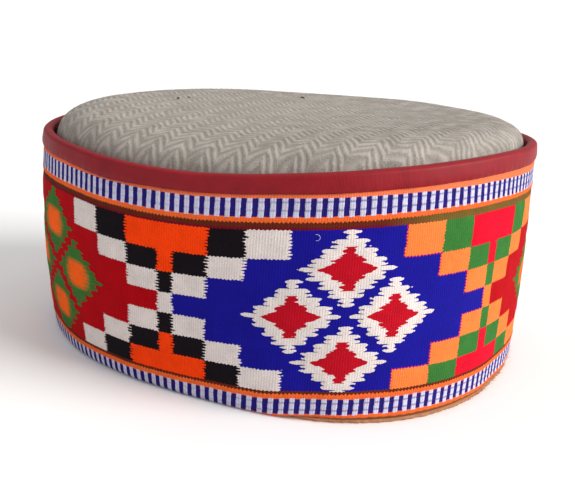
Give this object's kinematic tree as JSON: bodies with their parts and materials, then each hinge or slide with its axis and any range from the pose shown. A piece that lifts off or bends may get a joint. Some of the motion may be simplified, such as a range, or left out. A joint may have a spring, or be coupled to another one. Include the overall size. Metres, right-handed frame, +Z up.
{
  "type": "kullu cap",
  "caption": "Soft round wool cap with a domed herringbone crown, a tall geometric patterned band, a maroon rim binding and an open head hollow.",
  "frame": {"origin": "on the surface that the hem rests on, under the middle of the cap's outline", "axes": "+Z up, +X towards the wearer's front, which is the cap's longer way, +Y towards the wearer's left"},
  "size_m": [0.2044, 0.1734, 0.1019],
  "materials": {
    "herringbone_wool": "warm grey wool woven in a herringbone, slightly fuzzy",
    "inner_wool": "plain warm grey wool",
    "kullu_weave": "ribbed wool weaving in red, blue, white, black, orange and green blocks between striped borders",
    "maroon_cloth": "plain maroon cloth with a faint sheen",
    "tan_cloth": "soft tan cloth, slightly frayed"
  },
  "bodies": {
    "root": {"crown_top": "herringbone_wool", "crown_wall": "inner_wool", "woven_band": "kullu_weave", "rim_binding": "maroon_cloth", "hem_binding": "tan_cloth"}
  },
  "joints": []
}
